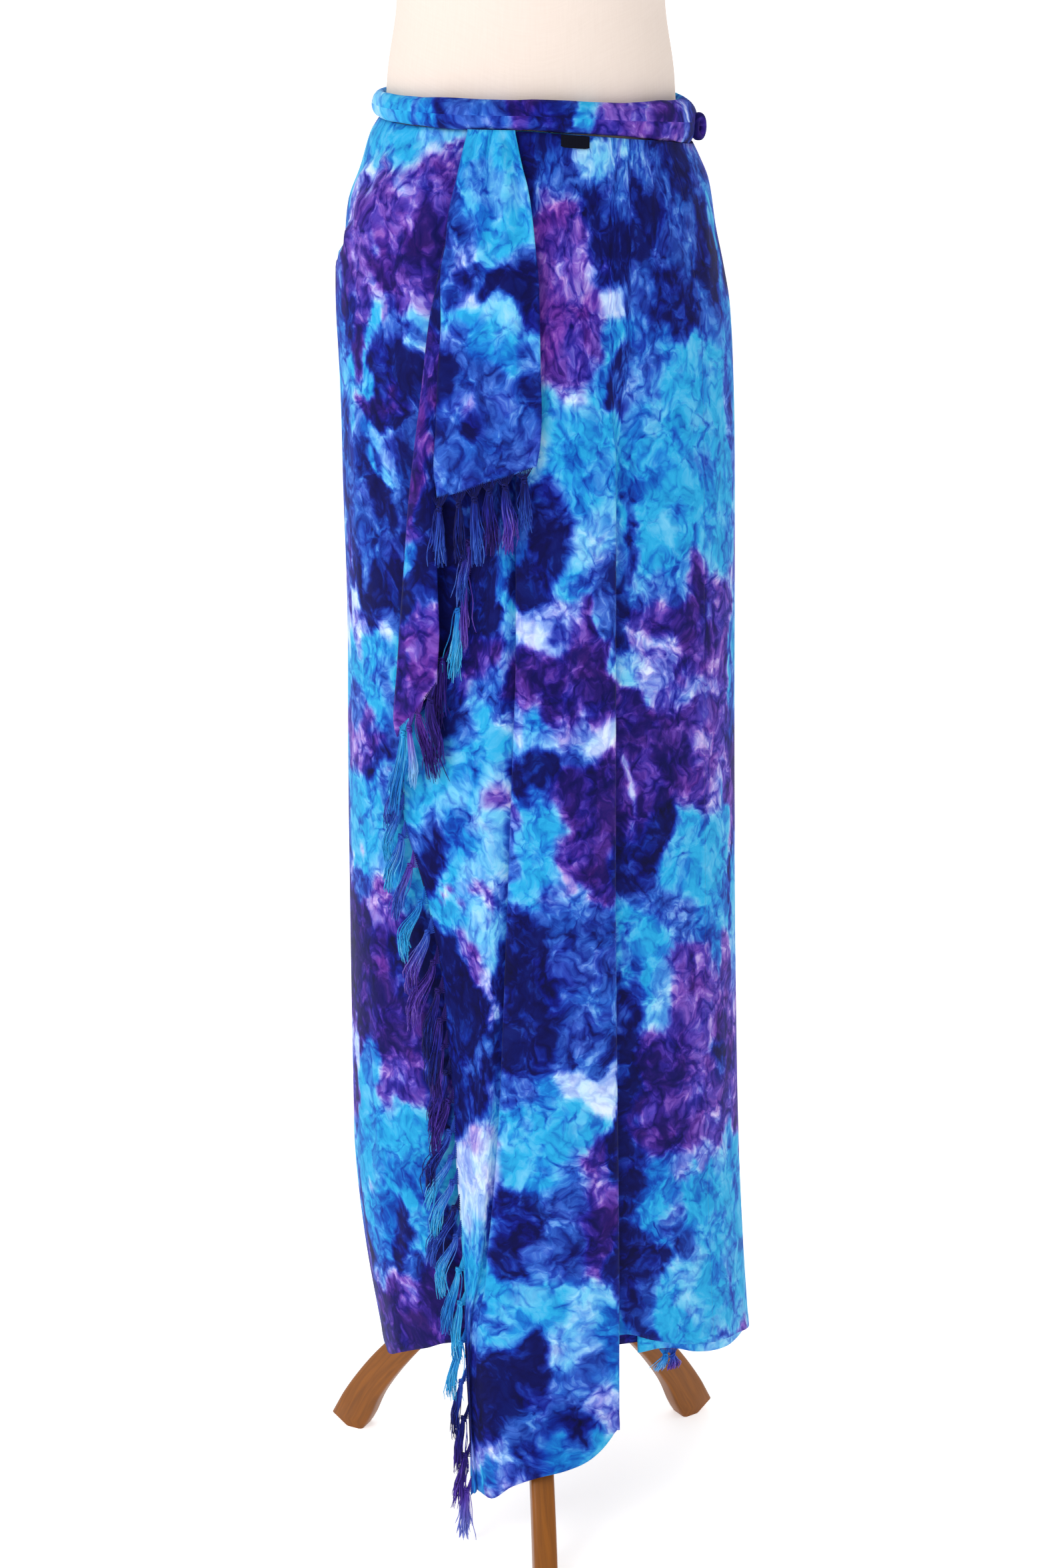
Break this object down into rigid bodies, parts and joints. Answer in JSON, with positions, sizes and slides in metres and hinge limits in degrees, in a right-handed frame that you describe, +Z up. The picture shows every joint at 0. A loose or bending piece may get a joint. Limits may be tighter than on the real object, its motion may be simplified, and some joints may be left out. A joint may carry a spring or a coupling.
{
  "type": "fringed sarong on a limbless dress form with a wooden tripod stand",
  "caption": "Long tie-dyed wrap with a rolled waist, a big side pleat and a knotted fringe, worn by a limbless dress form on a curved tripod.",
  "frame": {"origin": "on the floor, under the middle of the whole part's box", "axes": "+Z up along the form and its pole, -Y is the front with the fringed edge and the flap, +X is the wearer's left and the viewer's right"},
  "size_m": [0.3824, 0.3442, 1.747],
  "materials": {
    "dyed_rayon": "thin plain-weave rayon, ice-dyed in turquoise, royal blue, navy and purple, soft matt sheen",
    "fringe_thread": "knotted tassels of twisted rayon threads, dyed with the cloth",
    "label_ribbon": "bare woven ribbon, near-black navy, matt",
    "form_linen": "cream linen cover stretched smooth, fine slubby weave",
    "stand_wood": "warm brown stained and satin varnished hardwood"
  },
  "bodies": {
    "root": {"waist_roll": "dyed_rayon", "waist_tuck": "dyed_rayon", "under_wrap": "dyed_rayon", "inner_end": "dyed_rayon", "outer_wrap": "dyed_rayon", "cascade": "dyed_rayon", "flap": "dyed_rayon", "label": "label_ribbon", "fringe_flap": "fringe_thread", "fringe_cascade": "fringe_thread", "fringe_recess": "fringe_thread", "fringe_upper": "fringe_thread", "fringe_middle": "fringe_thread", "fringe_lower": "fringe_thread", "fringe_hem": "fringe_thread", "fringe_inner": "fringe_thread", "form_body": "form_linen", "form_base": "stand_wood", "neck_cap": "stand_wood", "pole": "stand_wood", "hub": "stand_wood", "leg_front": "stand_wood", "leg_right": "stand_wood", "leg_left": "stand_wood"}
  },
  "joints": []
}
